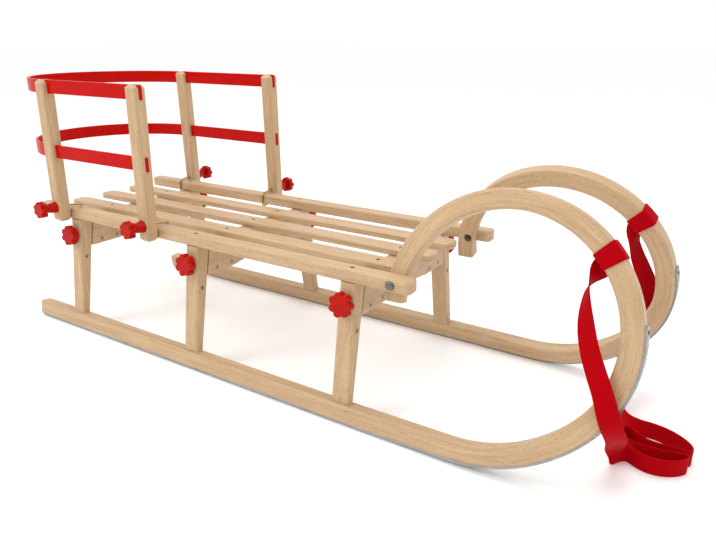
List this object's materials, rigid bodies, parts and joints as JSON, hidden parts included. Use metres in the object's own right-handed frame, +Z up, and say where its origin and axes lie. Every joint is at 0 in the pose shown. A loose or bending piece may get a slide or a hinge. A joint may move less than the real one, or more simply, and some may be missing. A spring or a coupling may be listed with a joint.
{
  "type": "wooden horn sled",
  "caption": "Wooden horn sled with bent runners, slatted seat, clamp-on backrest of bent bands on posts, star grips and a webbing pull strap.",
  "frame": {"origin": "on the floor, at the middle of the sled's box without its pull strap", "axes": "+X forwards to the horns, +Y to the sled's left, +Z up"},
  "size_m": [1.3687, 0.4656, 0.5084],
  "materials": {
    "beech": "clear satin lacquer on pale beech",
    "red_lacquer": "gloss red lacquer on bent wood",
    "red_plastic": "moulded red plastic, semi gloss",
    "shoe_steel": "bare rolled steel",
    "hook_brass": "yellow zinc plated rod",
    "bolt_chrome": "bright plated",
    "strap_webbing": "woven crimson webbing"
  },
  "bodies": {
    "sled": {"cross_bearer_front": "beech", "cross_bearer_middle": "beech", "cross_bearer_rear": "beech", "horn_bolt_left": "bolt_chrome", "horn_bolt_right": "bolt_chrome", "leg_front_left": "beech", "leg_front_right": "beech", "leg_grip_front_left": "red_plastic", "leg_grip_front_right": "red_plastic", "leg_grip_middle_left": "red_plastic", "leg_grip_middle_right": "red_plastic", "leg_grip_rear_left": "red_plastic", "leg_grip_rear_right": "red_plastic", "leg_middle_left": "beech", "leg_middle_right": "beech", "leg_rear_left": "beech", "leg_rear_right": "beech", "runner_left": "beech", "runner_right": "beech", "runner_shoe_left": "shoe_steel", "runner_shoe_right": "shoe_steel", "seat_slat_left": "beech", "seat_slat_middle": "beech", "seat_slat_right": "beech", "side_rail_left": "beech", "side_rail_right": "beech", "strap_coil": "strap_webbing", "strap_fall_left": "strap_webbing", "strap_fall_right": "strap_webbing", "strap_wrap_left": "strap_webbing", "strap_wrap_right": "strap_webbing"},
    "backrest": {"backrest_band_lower": "red_lacquer", "backrest_band_upper": "red_lacquer", "backrest_post_front_left": "beech", "backrest_post_front_right": "beech", "backrest_post_rear_left": "beech", "backrest_post_rear_right": "beech", "post_grip_front_left": "red_plastic", "post_grip_front_right": "red_plastic", "post_grip_rear_left": "red_plastic", "post_grip_rear_right": "red_plastic", "rail_hook_front_left": "hook_brass", "rail_hook_front_right": "hook_brass", "rail_hook_rear_left": "hook_brass", "rail_hook_rear_right": "hook_brass"}
  },
  "joints": [
    {"name": "backrest_slide", "type": "slide", "parent": "sled", "child": "backrest", "axis": [1, 0, 0], "range_m": [-0.09, 0]}
  ]
}
